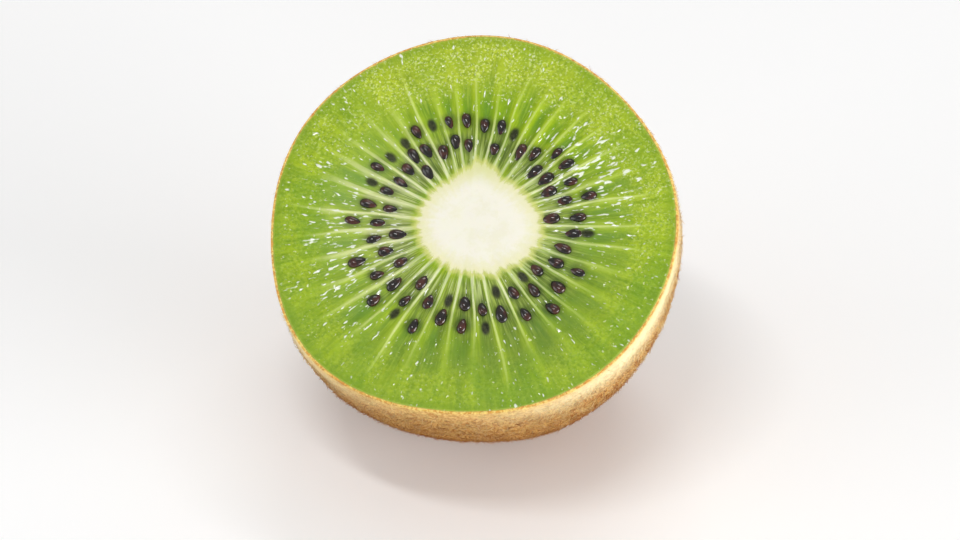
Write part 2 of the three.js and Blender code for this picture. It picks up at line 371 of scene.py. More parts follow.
under_share = np.cos(np.linspace(0.03, 0.985, UNDER_RINGS) * math.pi / 2) ** (2 / PROFILE_POWER)
under_share = under_share[:, None]
under_radius = under_share * outline(column_turns)
under_radius *= (FACE_RADIUS - SKIN_THICKNESS + FLESH_OVERLAP) / FACE_RADIUS
flesh_rings = np.concatenate([
    np.stack([x, y, height], axis=-1),
    ring_points(under_radius, column_turns, -skin_depth(under_share) * FLESH_END / LENGTH),
])
flesh_ends = (0, 0, CROWN + CORE_RAISE), (0, 0, -FLESH_END)
flesh = closed_rings("flesh", (flesh_rings, *flesh_ends, SKIN_THICKNESS - FLESH_OVERLAP))


def bell(middle, spread):
    """1 at an angle round the face, in degrees, and 0 far from it."""
    return hump(turn_gap(turns, math.radians(middle)), math.radians(spread))


# Juice stands in dashes along the walls at both sides, and in beads near the skin at the top. One
# side is painted paler, a painted reflection of a thin film of it. The pulp opposite, along the
# bottom and near the core at the top is painted darker: partly its own tone, partly painted shade.
# Near the skin the top is painted lighter: partly its own tone, partly painted light.
dashes_here = np.maximum(0.9 * bell(198, 38), bell(34, 32))
dashes_here *= band(share_grid, 0.31, 0.4, 0.72, 0.92)
beads_and_lit_top_here = 0.1 + 0.75 * bell(105, 62) * smooth(share_grid, 0.58, 0.74)
beads_and_lit_top_here += 0.35 * bell(25, 35) * smooth(share_grid, 0.66, 0.8)
painted_sheen_here = np.maximum(1.15 * bell(184, 44), 0.35 * bell(16, 30))
painted_sheen_here *= band(share_grid, 0.27, 0.36, 0.6, 0.84)
tone_and_shade_here = bell(306, 55) * band(share_grid, 0.36, 0.5, 0.6, 0.88)
tone_and_shade_here += 0.45 * bell(270, 80) * smooth(share_grid, 0.6, 0.76)
tone_and_shade_here += bell(80, 32) * band(share_grid, 0.32, 0.4, 0.46, 0.56)
painted = {  # over the face, at its middle and under it
    "share": (share_grid, 0, 1),
    "wall_gap": (wall_gap, 0, 3),
    "wall_strength": (wall_strength, 0, 0),
    "wall_reach": (wall_reach, 1, 1),
    "between": (between, 0, 0),
    "chamber_tone": (chamber_tone, 0, 0),
    "spike": (spike, 0, 0),
    "core_gap": (core_gap, -7, 20),
    "sunk": (sunk, 0, 0),
    "pit": (pit, 0, 0),
    "dashes_here": (dashes_here, 0, 0),
    "beads_and_lit_top_here": (beads_and_lit_top_here, 0, 0),
    "painted_sheen_here": (painted_sheen_here, 0, 0),
    "tone_and_shade_here": (tone_and_shade_here, 0, 0),
}
for name, (values, at_middle, under) in painted.items():
    rows = [np.broadcast_to(values, x.shape), np.full((UNDER_RINGS, x.shape[1]), under)]
    paint(flesh, name, np.concatenate(rows), at_middle, under)
keep(flesh.data, "place",
     np.concatenate([[flesh_ends[0]], flesh_rings.reshape(-1, 3), [flesh_ends[1]]]))


class Wire:
    """An output socket, with the arithmetic that the finishes and shapes are written in."""

    def __init__(self, recipe, socket):
        self.recipe, self.socket = recipe, socket

    def also(self, output):
        """Another output of the same node."""
        return Wire(self.recipe, self.socket.node.outputs[output])

    def _math(self, operation, one, other):
        return self.recipe.node("ShaderNodeMath", {"operation": operation}, {0: one, 1: other})

    def __add__(self, other):
        return self._math("ADD", self, other)

    def __sub__(self, other):
        return self._math("SUBTRACT", self, other)

    def __rsub__(self, other):
        return self._math("SUBTRACT", other, self)

    def __mul__(self, other):
        return self._math("MULTIPLY", self, other)

    def __truediv__(self, other):
        return self._math("DIVIDE", self, other)

    def __pow__(self, other):
        return self._math("POWER", self, other)

    __radd__ = __add__
    __rmul__ = __mul__


class Recipe:
    """A node tree under construction. node() makes any node, and the rest are short names."""

    def __init__(self, tree):
        self.tree = tree

    def node(self, kind, settings=None, inputs=None, output=0):
        made = self.tree.nodes.new(kind)
        for name, value in (settings or {}).items():
            setattr(made, name, value)
        for name, value in (inputs or {}).items():
            if isinstance(value, Wire):
                self.tree.links.new(value.socket, made.inputs[name])
            else:
                made.inputs[name].default_value = value
        return Wire(self, made.outputs[output]) if len(made.outputs) else None

    def attribute(self, name, output="Fac"):
        return self.node("ShaderNodeAttribute", {"attribute_name": name}, output=output)

    def at_object(self):
        """Where a point of the finished piece is, in metres."""
        return self.node("ShaderNodeTexCoord", output="Object")

    def ease(self, value, low, high):
        """0 at low and 1 at high, with a soft start and end."""
        limits = {"Value": value, "From Min": low, "From Max": high}
        return self.node("ShaderNodeMapRange", {"interpolation_type": "SMOOTHSTEP"}, limits)

    def mix(self, factor, one, other):
        """The colour one where factor is 0 and the colour other where it is 1."""
        inputs = {0: factor, 6: one, 7: other}
        return self.node("ShaderNodeMix", {"data_type": "RGBA"}, inputs, output=2)

    def noise(self, vector, scale, detail=2.0, roughness=0.5, distortion=0.0, output=0):
        inputs = {"Vector": vector, "Scale": scale, "Detail": detail, "Roughness": roughness,
                  "Distortion": distortion}
        return self.node("ShaderNodeTexNoise", None, inputs, output)

    def bump(self, height, depth, strength=1.0):
        """The normal of a relief that is a depth in millimetres from its low to its high."""
        inputs = {"Strength": strength, "Distance": depth * MM, "Height": height}
        return self.node("ShaderNodeBump", None, inputs)

    def vectors(self, operation, *values, output=0):
        settings = {"operation": operation}
        return self.node("ShaderNodeVectorMath", settings, dict(enumerate(values)), output)

    def vector(self, **axes):
        return self.node("ShaderNodeCombineXYZ", None, axes)

    def axis(self, vector, name):
        return self.node("ShaderNodeSeparateXYZ", None, {0: vector}, name)


def finish(name):
    """A new material, and the recipe for its nodes."""
    material = bpy.data.materials.new(name)
    material.use_nodes = True
    material.node_tree.nodes.clear()
    return material, Recipe(material.node_tree)


def shader(recipe, inputs):
    """A Principled shader with the given sockets."""
    return recipe.node("ShaderNodeBsdfPrincipled", None, inputs, output="BSDF")


def surface(recipe, shown):
    """Ends a finish with the shader that is shown."""
    recipe.node("ShaderNodeOutputMaterial", None, {"Surface": shown})


def colour(red, green, blue):
    """A colour given as it shows on a screen, from 0 to 255, as linear light."""
    parts = [part / 255 for part in (red, green, blue)]
    return (*[p / 12.92 if p <= 0.04045 else ((p + 0.055) / 1.055) ** 2.4 for p in parts], 1.0)


def dress(piece, material):
    """Gives a piece its finish, and says what it is part of."""
    piece.data.materials.clear()
    piece.data.materials.append(material)
    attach(piece, "root")
    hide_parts("kiwi_half")


flesh_finish, m = finish("flesh")
(at_share, at_gap, at_strength, at_reach, at_between, at_tone, at_spike, at_core, at_sunk,
 at_pit, at_dashes, at_beads_and_lit_top, at_painted_sheen, at_tone_and_shade) = [m.attribute(name) for name in painted]
at_place = m.attribute("place", "Vector")
outward = m.vectors("NORMALIZE", m.vectors("MULTIPLY", at_place, (1, 1, 0)))


def along_walls(steps_round, steps_outwards):
    """Where a point is for noise that is stretched along the walls."""
    outward_steps = m.vector(Z=at_share * steps_outwards)
    return m.vectors("MULTIPLY_ADD", outward, (steps_round,) * 3, outward_steps)


streak = m.noise(along_walls(22.0, 2.6), 1.0, 3.0, 0.55)
fibre = m.noise(along_walls(70.0, 9.0), 1.0, 2.0)
thread = m.noise(along_walls(38.0, 4.0), 1.0, 1.0)
mottle = m.noise(at_place, 0.4, 3.0)
specks = m.noise(at_place, 2.2, 3.0, 0.6)
wobble = m.noise(at_place, 2.4, output="Color")
dots = m.node("ShaderNodeTexVoronoi", {"voronoi_dimensions": "2D"},
              {"Vector": m.vectors("MULTIPLY_ADD", wobble, (0.8, 0.8, 0), at_place), "Scale": 2.1})
dot_tone = m.node("ShaderNodeSeparateColor", None, {0: dots.also("Color")}, "Red")
dot_size = dot_tone.also("Green")

# Pulp: lime rays go on outwards from the walls, with darker green wedges between them, and turn
# into fine grains under the skin.
green = m.mix(m.ease(streak, 0.3, 0.68), colour(118, 154, 12), colour(158, 186, 10))
green = m.mix(m.ease(mottle, 0.35, 0.75) * 0.4, green, colour(174, 198, 18))
wedges = m.ease(at_between, 0.2, 0.85) * m.ease(streak + at_tone * 0.35, 0.42, 0.78)
wedges = wedges * m.ease(at_share, 0.46, 0.62) * (1 - m.ease(at_share + mottle * 0.2, 0.74, 0.98))
green = m.mix(wedges * 0.75, green, colour(84, 134, 28))
rays = (1 - m.ease(at_between, 0.0, 0.4)) * m.ease(at_share, 0.45, 0.6)
rays = rays * (1 - m.ease(at_share, 0.78, 0.95))
green = m.mix(rays * 0.5, green, colour(178, 204, 48))
green = m.mix(m.ease(fibre, 0.48, 0.72) * 0.35, green, colour(184, 204, 62))
# Near the skin the top is lighter and yellower: partly its own tone, partly painted light.
rind_side = m.ease(at_share, 0.62, 0.84)
outer = m.mix(m.ease(specks, 0.36, 0.62), colour(108, 146, 18), colour(180, 202, 46))
green = m.mix(rind_side * m.ease(mottle, 0.2, 0.65) * (0.35 + 0.45 * at_beads_and_lit_top), green, outer)
green = m.mix(rind_side * at_beads_and_lit_top * at_beads_and_lit_top * 0.25, green, colour(222, 214, 78))
flecks = m.ease(m.noise(at_place, 3.2, 1.0), 0.54, 0.66) * m.ease(mottle, 0.25, 0.55)
flecks = flecks * m.ease(at_share, 0.64, 0.84) * (0.1 + 0.9 * at_beads_and_lit_top * at_beads_and_lit_top)
green = m.mix(flecks, green, colour(222, 234, 150))
wide = m.noise(at_place, 0.12, 2.0)
green = m.mix(m.ease(wide, 0.46, 0.62) * (0.45 - 0.3 * at_beads_and_lit_top), green, colour(104, 152, 22))
# Darker on one side, at the bottom and by the core at the top: partly tone, partly painted shade.
green = m.mix(at_tone_and_shade * (0.3 + 0.2 * m.ease(at_between, 0.1, 0.6)), green, colour(88, 114, 52))
bead = m.ease(0.08 + dot_size * dot_size * 0.27 - dots, 0.0, 0.11)
bead = bead * m.ease(dot_tone + at_beads_and_lit_top * 0.75 * m.ease(mottle, 0.35, 0.6), 0.84, 0.96)
bead = bead * m.ease(at_share, 0.52, 0.68) * (1 - at_sunk)
# Beads are pale: partly pale grains of pulp, partly a painted highlight.
green = m.mix(bead * 0.5, green, colour(216, 230, 130))

# Dark chambers, clearer and greener next to the core in some.
chambers = m.ease(at_share, 0.25, 0.33)
chambers = chambers * (1 - m.ease(at_share + streak * 0.24 - at_tone_and_shade * 0.08, 0.49, 0.72))
between_walls = m.ease(at_gap, 0.06, 0.45)
dark = m.mix(m.ease(fibre, 0.35, 0.68), colour(84, 102, 38), colour(154, 172, 82))
clear = m.ease(at_tone, 0.45, 0.9) * (1 - m.ease(at_share, 0.31, 0.43))
dark = m.mix(clear * 0.8, dark, colour(134, 158, 28))
green = m.mix(chambers * between_walls * 0.8, green, dark)
green = m.mix(m.ease(at_pit, 0.04, 0.6) * 0.52, green, colour(58, 82, 32))
covered = m.ease(at_sunk + (fibre - 0.5) * 0.5, 0.12, 0.9)
green = m.mix(covered * 0.95, green, m.mix(m.ease(specks, 0.35, 0.65), colour(22, 20, 16),
                                           colour(50, 52, 34)))
green = m.mix(m.ease(at_share, 0.93, 0.97) * 0.4, green, colour(118, 152, 28))
green = m.mix(m.ease(at_share, 0.977, 0.987) * 0.3, green, colour(216, 216, 112))

# Pale walls, with finer threads between them next to the core, fade towards the skin.
threads = m.ease(thread, 0.53, 0.66) * m.ease(at_share, 0.27, 0.32)
threads = threads * (1 - m.ease(at_share, 0.34, 0.46)) * (1 - at_sunk)
green = m.mix(threads * 0.62, green, colour(196, 210, 138))
wall_half = 0.13 + 0.06 * (1 - m.ease(at_share, 0.27, 0.38)) + (fibre - 0.5) * 0.14
wall_line = 1 - m.ease(at_gap / wall_half, 0.5, 1.6)
wall_fade = 1 - m.ease(at_share, at_reach - 0.32, at_reach)
wall_colour = m.mix(m.ease(at_share, 0.34, 0.62), colour(228, 233, 186), colour(204, 220, 124))
green = m.mix(wall_line * wall_fade * at_strength * (0.6 + 0.4 * m.ease(streak, 0.35, 0.6)),
              green, wall_colour)

# A painted reflection of a thin film of juice pales one side, most of all along the walls.
sheen_edge = 0.15 + 0.5 * m.ease(streak, 0.4, 0.65)
sheen_by_walls = 1 - m.ease(at_gap, sheen_edge * 0.4, sheen_edge * 1.3)
green = m.mix(at_painted_sheen * (0.1 + 0.42 * sheen_by_walls) * (1 - 0.8 * covered), green, colour(228, 230, 178))

# Pale core with a crisp edge and a narrow yellow-green fringe, greener in its spike.
ragged = at_core + (fibre - 0.5) * 0.8 + (specks - 0.5) * 0.7
green = m.mix((1 - m.ease(ragged, -0.1, 0.7)) * 0.85, green, colour(208, 212, 122))
from_middle = m.vectors("LENGTH", at_place, output="Value")
core_colour = m.mix(m.ease(at_core + specks * 1.6, -2.2, 0.6), colour(240, 237, 222),
                    colour(232, 229, 186))
core_colour = m.mix(m.ease(mottle + (specks - 0.5) * 0.5, 0.45, 0.7) * 0.3, core_colour,
                    colour(228, 226, 190))
core_colour = m.mix(m.ease(at_spike, 0.05, 0.6) * m.ease(from_middle, 4.5, 8.5) * 0.8,
                    core_colour, colour(216, 219, 150))
core_part = 1 - m.ease(ragged, -0.6, 0.0)
flesh_colour = m.mix(core_part, green, core_colour)

relief = m.noise(along_walls(60.0, 14.0), 1.0, 2.0) * 0.7 + m.noise(at_place, 2.8, 3.0, 0.65) * 0.8
relief = relief * (1 - 0.8 * core_part)
moist_pulp = shader(m, {
    "Base Color": flesh_colour,
    "Roughness": 0.38 + 0.16 * core_part,
    "IOR": 1.38,
    "Specular IOR Level": 0.3,
    "Normal": m.bump(relief, 0.06),
    "Subsurface Weight": 0.25,
    "Subsurface Radius": (0.8, 1.0, 0.3),
    "Subsurface Scale": 0.4 * MM,
})

# Standing juice is mirror-smooth, in small raised dashes and beads. Its colour is painted paler
# than the pulp, and near-white along the middle of each dash: a painted highlight.
dash = m.noise(along_walls(44.0, 23.0), 1.0, 1.0) + at_dashes * 0.13
dash_film = m.ease(dash, 0.69, 0.73) * (1 - core_part) * (1 - at_sunk)
painted_glint = m.ease(dash, 0.72, 0.78)
swell = m.ease(dash, 0.67, 0.84) + bead + relief * 0.7
juice = shader(m, {
    "Base Color": m.mix(0.25 + 0.6 * painted_glint, flesh_colour, colour(244, 248, 234)),
    "Roughness": 0.07,
    "IOR": 1.6,
    "Normal": m.bump(swell, 0.045),
})
surface(m, m.node("ShaderNodeMixShader", None, {0: dash_film + bead, 1: moist_pulp, 2: juice}))
dress(flesh, flesh_finish)

# -----------------------------------------------------------------------------------------------
# Seeds. Flat drops with a hard, shiny, black-brown coat, their points towards the core. Each
# sits half sunk in the pulp of its chamber.
# -----------------------------------------------------------------------------------------------
SEED_TAPER = 0.28
SEED_SUNK = [0, 0, 0.15]  # one in three lies deeper
SEED_WIDTHS, SEED_LENGTHS = (0.9, 1.08), (0.92, 1.06)
SEED_LEAN, SEED_ROLL = (-0.12, 0.16), (-0.3, 0.3)
SEED_SEGMENTS, SEED_RINGS = 14, 10


def shape_tree(name, inputs):
    """A geometry tree that takes a shape, the named sizes and a material, and its recipe."""
    tree = bpy.data.node_groups.new(name, "GeometryNodeTree")
    tree.interface.new_socket("Geometry", in_out="INPUT", socket_type="NodeSocketGeometry")
    for label, kind in inputs.items():
        tree.interface.new_socket(label, in_out="INPUT", socket_type=f"NodeSocket{kind}")
    tree.interface.new_socket("Geometry", in_out="OUTPUT", socket_type="NodeSocketGeometry")
    recipe = Recipe(tree)
    entry = recipe.node("NodeGroupInput").socket.node
    recipe.given = {socket.name: Wire(recipe, socket) for socket in entry.outputs if socket.name}
    return recipe


def kept(recipe, name, kind):
    """What keep() stored on the points of a shape."""
    return recipe.node("GeometryNodeInputNamedAttribute", {"data_type": kind}, {"Name": name})


def stand_on_points(recipe, inputs):
    """Ends a tree with a copy on each point, made real and given the material."""
    copies = recipe.node("GeometryNodeInstanceOnPoints", None, inputs)
    real = recipe.node("GeometryNodeRealizeInstances", None, {"Geometry": copies})
    coated = recipe.node("GeometryNodeSetMaterial", None,
                         {"Geometry": real, "Material": recipe.given["Material"]})
    recipe.node("NodeGroupOutput", None, {"Geometry": coated})


def grown(name, start, recipe, values):
    """The mesh that a tree makes of a starting mesh, as a piece of its own."""
    holder = set_out(f"{name}_start", start)
    modifier = holder.modifiers.new(name, "NODES")
    modifier.node_group = recipe.tree
    for socket in recipe.tree.interface.items_tree:
        if socket.in_out == "INPUT" and socket.name in values:
            modifier[socket.identifier] = values[socket.name]
    graph = bpy.context.evaluated_depsgraph_get()
    mesh = bpy.data.meshes.new_from_object(holder.evaluated_get(graph), depsgraph=graph)
    bpy.data.objects.remove(holder)
    mesh.name = name
    return set_out(name, mesh)


def laid_turn(angle, lean, roll):
    """The rotation of a thing that points along +Y at an angle round the face, laid down."""
    upright = Euler((lean, roll, angle - math.pi / 2)).to_matrix()
    return (Euler((FACE_TILT, 0, 0)).to_matrix() @ upright).to_euler()


seed_points = bpy.data.meshes.new("seed_points")
chamber_floors = [
    dome(s["share"]) - CHAMBER_DEPTH * band(s["share"], *CHAMBER_SHARES) for s in seeds
]
heights = [
    floor + SEED_PROUD - SEED_HEIGHT * s["size"] / 2 - rng.choice(SEED_SUNK)
    for s, floor in zip(seeds, chamber_floors)
]
seed_points.from_pydata(laid_down(np.column_stack([seed_spots, heights])).tolist(), [], [])
keep(seed_points, "size", [
    s["size"] * np.array([rng.uniform(*SEED_WIDTHS), rng.uniform(*SEED_LENGTHS), 1])
    for s in seeds
])
keep(seed_points, "turn", [
    laid_turn(s["angle"] + s["turn"], rng.uniform(*SEED_LEAN), rng.uniform(*SEED_ROLL))
    for s in seeds
])

g = shape_tree("seeds", {"Length": "Float", "Width": "Float", "Height": "Float",
                         "Taper": "Float", "Material": "Material"})
ball = g.node("GeometryNodeMeshUVSphere", None,
              {"Segments": SEED_SEGMENTS, "Rings": SEED_RINGS, "Radius": 0.5})
upright = g.node("GeometryNodeTransform", None,
                 {"Geometry": ball, "Rotation": (-math.pi / 2, 0, 0)})
where = g.node("GeometryNodeInputPosition")
across, along, upwards = [g.axis(where, name) for name in "XYZ"]
girth = 1 + g.given["Taper"] * along * 2
drop = g.vector(X=across * girth * g.given["Width"], Y=along * g.given["Length"],
                Z=upwards * girth * g.given["Height"])
shaped = g.node("GeometryNodeSetPosition", None, {"Geometry": upright, "Position": drop})
stand_on_points(g, {
    "Points": g.given["Geometry"],
    "Instance": g.node("GeometryNodeSetShadeSmooth", None, {"Geometry": shaped}),
    "Rotation": kept(g, "turn", "FLOAT_VECTOR"),
    "Scale": kept(g, "size", "FLOAT_VECTOR"),
})

seed_finish, m = finish("seed_coat")
coat_tone = m.noise(m.at_object(), 900.0, 2.0)
netting = m.node("ShaderNodeTexVoronoi", None, {"Vector": m.at_object(), "Scale": 6500.0})
surface(m, shader(m, {
    "Base Color": m.mix(m.ease(coat_tone, 0.42, 0.66), colour(16, 9, 7), colour(70, 28, 18)),
    "Roughness": 0.3 + 0.2 * coat_tone,
    "Specular IOR Level": 0.2,
    "Normal": m.bump(netting, 0.03, 0.6),
    "Coat Weight": 1.0,
    "Coat Roughness": 0.05,
}))
seed_piece = grown("seeds", seed_points, g, {
    "Length": SEED_LENGTH * MM,
    "Width": SEED_WIDTH * MM,
    "Height": SEED_HEIGHT * MM,
    "Taper": SEED_TAPER,
    "Material": seed_finish,
})
dress(seed_piece, seed_finish)

# -----------------------------------------------------------------------------------------------
# Skin. A thin leathery coat, tan above and painted browner and darker below as shade, cut clean
# round the face so that its pale edge shows, and painted paler as light along the front of the cut.
# The fruit's weight presses it flat where it rests.
# -----------------------------------------------------------------------------------------------
SKIN_COLUMNS = 420
SKIN_ROWS = 110
WAVE_START, WAVE_END = (1, 8), (86, 104)  # rows over which the skin's uneven shape comes and goes
RIM_DROP = 0.2
CUT_EDGE = [(0.85, 0.0), (0.6, -0.03), (0.35, -0.02), (0.12, 0.06)]  # share of thickness, mm down
RIM_FADE = [0.8, 0.6, 0.35, 0.15]
HAIR_OFF_FLOOR, HAIR_OFF_SCAR = (0.9, 1.6), (4.7, 5.4)  # mm, bald up to and full from
# Where the skin is balder and painted paler as light: across the front of the cut, and heights.
BALD_AND_LIT_FRONT, PAINTED_LIGHT_HEIGHTS = (-6, 14), (-8.0, -1.0)
# The low side of the fruit is painted brown as shade, in skin and hair alike.
LOW_SHADE_HEIGHTS = (6, 23)  # mm above the floor, brown up to and tan from
SCAR_BROWN = (5.5, 11.0)  # mm from the stem, brown up to and tan from
SCAR_RADIUS = 4.6  # woody ring left by the stalk
SCAR_RING_WIDTH = 1.0
SCAR_RING_HEIGHT = 0.4
SCAR_DEPTH = 0.7
STUB_RADIUS = 1.6
STUB_HEIGHT = 0.5


def scar_relief(radius, turn):
    """How far the stem end stands out of the skin's curve: a ring, a dish in it and a stub."""
    ragged_ring = 1 + 0.3 * np.cos(3 * turn + 1) + 0.2 * np.cos(7 * turn)
    ring = SCAR_RING_HEIGHT * ragged_ring * hump(radius - SCAR_RADIUS, 0.6 * SCAR_RING_WIDTH)
    dish = SCAR_DEPTH * (1 - smooth(radius, SCAR_RADIUS - 1.3 * SCAR_RING_WIDTH, SCAR_RADIUS))
    stub = STUB_HEIGHT * (1 - smooth(radius, 0.5 * STUB_RADIUS, 1.3 * STUB_RADIUS))
    return ring - dish + stub


skin_turns = np.linspace(0, 2 * math.pi, SKIN_COLUMNS, endpoint=False)


def skin_sheet(offset, down, drop):
    """Rings a distance outside the skin's surface, down its profile, at least a drop down."""
    share = np.cos(down) ** (2 / PROFILE_POWER)
    radius = share[:, None] * outline(skin_turns) * (FACE_RADIUS + offset) / FACE_RADIUS
    depth = np.maximum(skin_depth(share) * (LENGTH + offset) / LENGTH, drop)[:, None]
    return ring_points(radius, skin_turns, -(depth + scar_relief(radius, skin_turns)))


down = np.linspace(0.0, 0.995, SKIN_ROWS) * math.pi / 2
outer_skin = skin_sheet(0.0, down, RIM_DROP)
skin_u = round_steps(skin_turns)
row = np.arange(SKIN_ROWS)[:, None]
wave = 0.12 * bumps(skin_u / 8 + 0 * row, row / 9, 21)
wave = wave + 0.04 * bumps(skin_u + 0 * row, row * 0.9, 22)
wave = wave * smooth(row, *WAVE_START) * (1 - smooth(row, *WAVE_END))
outer_skin[..., :2] *= 1 + (wave / FACE_RADIUS)[..., None]
inner_skin = skin_sheet(-SKIN_THICKNESS, down[::6][::-1], 0.0)
cut_edge = [skin_sheet(-part * SKIN_THICKNESS, np.array([0.0]), drop) for part, drop in CUT_EDGE]
skin_rings = np.concatenate([inner_skin, *cut_edge, outer_skin])
inner_end, outer_end = [(0, 0, -LENGTH - scar_relief(0, 0) + up) for up in (SKIN_THICKNESS, 0)]
inside_rings = len(inner_skin) + len(cut_edge)
lowest = np.zeros(len(skin_rings))
lowest[: len(inner_skin)] = SKIN_THICKNESS
skin = closed_rings("skin", (skin_rings, inner_end, outer_end, lowest))
rim = np.zeros(skin_rings.shape[:2])
rim[len(inner_skin) - 1 : inside_rings - 1] = 1
rim[inside_rings - 1 : inside_rings + 3] = np.array(RIM_FADE)[:, None]
paint(skin, "rim", rim, 0, 0)
keep(skin.data, "place", np.concatenate([[inner_end], skin_rings.reshape(-1, 3), [outer_end]]))


def paint_outside(name, values):
    """Keeps a number for each point on the outside of the skin, and 0 for those inside it."""
    paint(skin, name, np.concatenate([np.zeros((inside_rings, SKIN_COLUMNS)), values]), 0, 0)


# Hair grows on the outside only, not on the scar and not under the fruit. Along the front of the
# cut the skin is balder, and skin and hair there are painted paler, except at the very bottom:
# painted light.
outside = skin_rings[inside_rings:]
below_cut = -outside[..., 2]
front = 1 - smooth(outside[..., 1], *BALD_AND_LIT_FRONT)
clear_of_floor = smooth(laid_down(outside)[..., 2] / MM, *HAIR_OFF_FLOOR)
clear_of_scar = smooth(np.hypot(outside[..., 0], outside[..., 1]), *HAIR_OFF_SCAR)
clear_of_rim = (1 - front * (1 - smooth(below_cut, 0.5, 5.0))) * smooth(below_cut, 0.3, 0.7)
growth = clear_of_floor * np.where(below_cut > LENGTH / 2, clear_of_scar, clear_of_rim)
paint_outside("growth", growth)
painted_light = (0.3 + 0.7 * front) * (1 - 0.92 * hump(turn_gap(skin_turns, 1.5 * math.pi), 0.6))
paint_outside("painted_light", painted_light * smooth(outside[..., 2], *PAINTED_LIGHT_HEIGHTS))
scar = np.where(skin_rings[..., 2] < -LENGTH / 2, 1, 0)
scar = scar * (1 - smooth(np.hypot(skin_rings[..., 0], skin_rings[..., 1]), *SCAR_BROWN))
paint(skin, "scar", scar, 1, 1)


def painted_low_shade(recipe):
    """1 low on the fruit, where its skin and hair are painted browner and darker as shade,
    and 0 high on it.
    """
    low, high = LOW_SHADE_HEIGHTS
    return 1 - recipe.ease(recipe.axis(recipe.at_object(), "Z"), low * MM, high * MM)


skin_finish, m = finish("furry_skin")
at_rim = m.attribute("rim")
at_painted_light = m.attribute("painted_light")
skin_place = m.attribute("place", "Vector")
blotch = m.noise(skin_place, 0.16, 4.0, 0.6)
rust = m.noise(skin_place, 1.35, 3.0, 0.6, 1.2)
straw = m.noise(skin_place, 1.7, 3.0, 0.6, 1.2)
dusk = m.noise(skin_place, 0.9, 3.0, 0.6)
brown = m.mix(m.ease(blotch, 0.35, 0.65), colour(170, 138, 78), colour(216, 166, 92))
# Painted light: the skin is paler along the front of the cut.
brown = m.mix(at_painted_light * 0.95, brown, colour(255, 246, 202))
brown = m.mix(m.ease(dusk, 0.48, 0.72) * (0.6 - 0.5 * at_painted_light), brown, colour(108, 92, 50))
brown = m.mix(m.ease(rust, 0.46, 0.62) * (0.8 - 0.72 * at_painted_light), brown, colour(172, 86, 26))
brown = m.mix(m.ease(straw, 0.48, 0.66) * (0.7 - 0.3 * at_painted_light), brown, colour(255, 222, 154))
# Painted shade: the skin is browner and darker low on the fruit.
brown = m.mix(painted_low_shade(m) * 0.8, brown, colour(152, 88, 12))
brown = m.mix(m.attribute("scar") * 0.85, brown, colour(112, 54, 26))
rim_yellow = m.mix(m.ease(straw, 0.4, 0.6), colour(222, 162, 74), colour(242, 214, 122))
skin_colour = m.mix(at_rim * (0.65 + 0.35 * m.ease(rust, 0.6, 0.45)), brown, rim_yellow)
surface(m, shader(m, {
    "Base Color": skin_colour,
    "Roughness": 0.78 - 0.3 * at_rim,
    "Specular IOR Level": 0.2,
    "Normal": m.bump(rust + straw, 0.12, 0.8),
    "Subsurface Weight": 0.15,
    "Subsurface Radius": (1.0, 0.5, 0.25),
    "Subsurface Scale": 0.6 * MM,
    "Sheen Weight": 0.45,
    "Sheen Roughness": 0.5,
    "Sheen Tint": colour(255, 216, 128),
}))
dress(skin, skin_finish)

# -----------------------------------------------------------------------------------------------
# Stem end. A dark woody scar where the stalk broke off, ringed by five dry, curled sepals. They
# grew with the fruit and stay on its skin, at the end away from the cut.
# -----------------------------------------------------------------------------------------------
SCAR_COLUMNS = 120
SCAR_EDGE = 5.1
SCAR_CRUST = 0.16
SCAR_CRACKS = 64

scar_turns = np.linspace(0, 2 * math.pi, SCAR_COLUMNS, endpoint=False)
scar_u = round_steps(scar_turns, SCAR_CRACKS)


def scar_sheet(radii_out, proud):
    """Rings over the scar, a height proud of the skin, with a ragged edge and radial cracks."""
    ragged = 0.05 * bumps(scar_u / 4, 0 * scar_u, 31) + 0.035 * bumps(scar_u, 0 * scar_u, 34)
    radius = np.asarray(radii_out)[:, None] * (1 + ragged)
    crust = 0.12 * bumps(scar_u, radius / 0.9, 32) + 0.16 * bumps(scar_u / 3, radius / 1.6, 33)
    height = skin_depth(radius / FACE_RADIUS) + scar_relief(radius, scar_turns)
    height = height + proud + crust * (proud > 0) * smooth(SCAR_EDGE - radius, 0, 1)
    return ring_points(radius, scar_turns, -height)


scar_rows = np.linspace(0.25, SCAR_EDGE, 26)
scar_rings = np.concatenate([
    scar_sheet(scar_rows[::5], -SKIN_THICKNESS / 2),
    scar_sheet([SCAR_EDGE + 0.06], SCAR_CRUST / 2),
    scar_sheet(scar_rows[::-1], SCAR_CRUST),
])
scar_middle = -LENGTH - scar_relief(0, 0)
scar_piece = closed_rings("stem_scar", (
    scar_rings, (0, 0, scar_middle + SKIN_THICKNESS / 2), (0, 0, scar_middle - SCAR_CRUST), 0.0))
scar_radius = np.hypot(scar_rings[..., 0], scar_rings[..., 1])
ring_here = smooth(scar_radius, 3.2, 4.2) * (1 - 0.5 * smooth(scar_radius, 4.8, 5.2))
paint(scar_piece, "ring", ring_here, 0, 0)

SEPALS = 5
SEPAL_START = 0.25
SEPAL_LENGTH = 2.8
SEPAL_WIDTH = 2.4
SEPAL_THICKNESS = 0.22
SEPAL_LIFT, SEPAL_CURL = 0.14, 0.2
SEPAL_JITTER, SEPAL_SIZES = 0.3, (0.8, 1.2)
SEPAL_ROWS, SEPAL_SIDES = 16, 20


